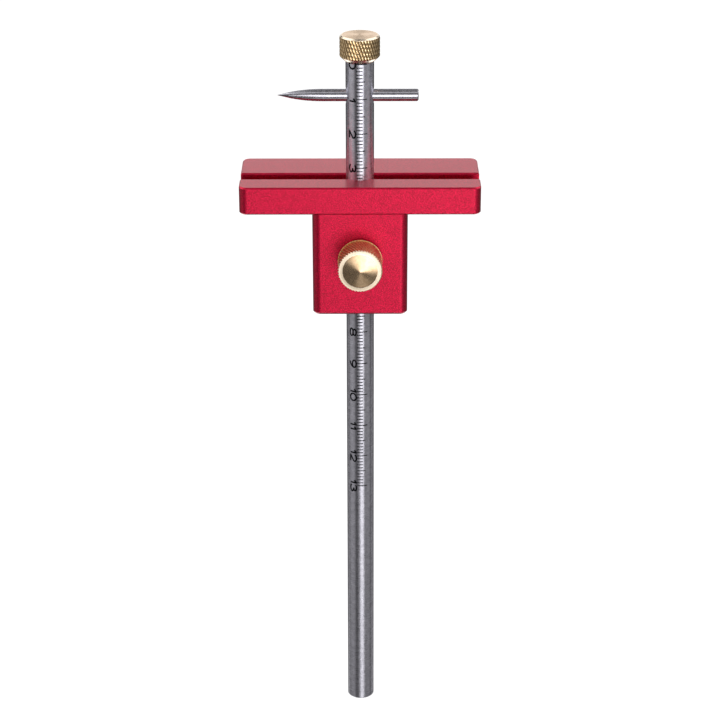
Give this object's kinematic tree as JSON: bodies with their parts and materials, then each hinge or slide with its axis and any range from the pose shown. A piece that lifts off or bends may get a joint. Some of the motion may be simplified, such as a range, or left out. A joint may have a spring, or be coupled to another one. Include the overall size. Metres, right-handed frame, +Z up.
{
  "type": "woodworking scriber",
  "caption": "Woodworking scriber: round steel beam with an engraved scale, a needle locked in its end by a knurled brass screw, and a grooved T-shaped fence clamped by a thumbscrew.",
  "frame": {"origin": "centre of the beam's lower end face", "axes": "+Z up along the beam to the lock screw, -Y towards the clamp thumbscrew, -X towards the needle's point"},
  "size_m": [0.068, 0.0373, 0.2127],
  "materials": {
    "beam_steel": "satin ground steel, scale marked in black",
    "needle_steel": "hardened and ground, cone at the point polished",
    "brass": "turned, sides diamond-knurled",
    "fence_aluminium": "bead-blasted and anodised red",
    "pad_plastic": "plain moulded plastic"
  },
  "bodies": {
    "beam": {"beam_rod": "beam_steel"},
    "needle": {"scribing_needle": "needle_steel"},
    "lock_screw": {"needle_lock_screw": "brass"},
    "fence": {"fence_body": "fence_aluminium"},
    "pad": {"clamp_pad": "pad_plastic"},
    "thumbscrew": {"clamp_thumbscrew": "brass"}
  },
  "joints": [
    {"name": "fence_slide", "type": "slide", "parent": "beam", "child": "fence", "axis": [0, 0, 1], "range_m": [-0.131, 0.0258]},
    {"name": "needle_slide", "type": "slide", "parent": "beam", "child": "needle", "axis": [-1, 0, 0], "range_m": [-0.0065, 0.012]},
    {"name": "lock_screw_turn", "type": "hinge", "parent": "beam", "child": "lock_screw", "pos_m": [0, 0, 0.2054], "axis": [0, 0, 1], "range_deg": [0, 720]},
    {"name": "clamp_pad_travel", "type": "slide", "parent": "fence", "child": "pad", "axis": [0, -1, 0], "range_m": [0, 0.0016]},
    {"name": "thumbscrew_turn", "type": "hinge", "parent": "pad", "child": "thumbscrew", "pos_m": [0, -0.0109, 0.15], "axis": [0, -1, 0], "range_deg": [0, 720]}
  ],
  "couplings": [
    {"joint": "thumbscrew_turn", "follows": "clamp_pad_travel", "rad_per_m": 7853.9}
  ]
}
